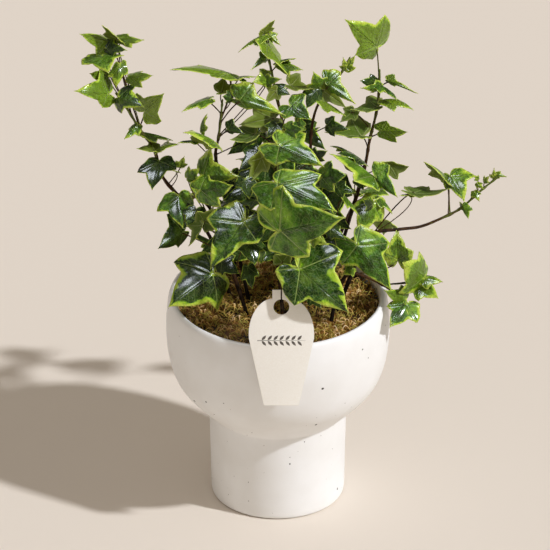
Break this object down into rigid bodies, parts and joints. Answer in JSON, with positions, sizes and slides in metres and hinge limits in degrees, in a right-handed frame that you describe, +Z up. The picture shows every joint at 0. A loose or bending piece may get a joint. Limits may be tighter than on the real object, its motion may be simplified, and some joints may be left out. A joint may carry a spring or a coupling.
{
  "type": "potted ivy",
  "caption": "Variegated ivy in a white footed stoneware bowl, with trailing leafy vines, a moss topping and a blank keyhole-shaped tag at the rim.",
  "frame": {"origin": "centre of the pot's flat underside", "axes": "+Z up along the pot's axis; -Y is the front, where the tag hangs; +X to the right seen from the front"},
  "size_m": [0.3024, 0.217, 0.3697],
  "materials": {
    "stoneware": "matt white glaze with small dark iron speckles",
    "soil": "loose dark potting mix",
    "moss": "dry fibrous moss",
    "card": "matt uncoated cream card",
    "stem": "thin brown bark, greener towards the tips",
    "leaf": "waxy green leaf with yellow-green margins"
  },
  "bodies": {
    "root": {"ceramic_pot": "stoneware", "potting_soil": "soil", "moss_topping": "moss", "vine_left": "stem", "vine_left_inner": "stem", "vine_left_front": "stem", "vine_centre": "stem", "vine_front": "stem", "vine_right": "stem", "vine_right_inner": "stem", "vine_right_long": "stem", "vine_right_spill": "stem", "vine_back_left": "stem", "vine_back": "stem", "vine_back_right": "stem", "tag_shoot": "stem", "plant_tag": "card", "leaf_left_1": "leaf", "leaf_left_2": "leaf", "leaf_left_3": "leaf", "leaf_left_4": "leaf", "leaf_left_5": "leaf", "leaf_left_6": "leaf", "leaf_left_inner_1": "leaf", "leaf_left_inner_2": "leaf", "leaf_left_inner_3": "leaf", "leaf_left_inner_4": "leaf", "leaf_left_front_1": "leaf", "leaf_left_front_2": "leaf", "leaf_left_front_3": "leaf", "leaf_left_front_4": "leaf", "leaf_left_front_5": "leaf", "leaf_left_front_6": "leaf", "leaf_centre_1": "leaf", "leaf_centre_2": "leaf", "leaf_front_1": "leaf", "leaf_front_2": "leaf", "leaf_front_3": "leaf", "leaf_front_4": "leaf", "leaf_front_5": "leaf", "leaf_right_1": "leaf", "leaf_right_2": "leaf", "leaf_right_3": "leaf", "leaf_right_4": "leaf", "leaf_right_5": "leaf", "leaf_right_inner_1": "leaf", "leaf_right_inner_2": "leaf", "leaf_right_long_1": "leaf", "leaf_right_long_2": "leaf", "leaf_right_long_3": "leaf", "leaf_right_long_4": "leaf", "leaf_right_spill_1": "leaf", "leaf_right_spill_2": "leaf", "leaf_right_spill_3": "leaf", "leaf_back_left_1": "leaf", "leaf_back_left_2": "leaf", "leaf_back_1": "leaf", "leaf_back_2": "leaf", "leaf_back_3": "leaf", "leaf_back_right_1": "leaf"}
  },
  "joints": []
}
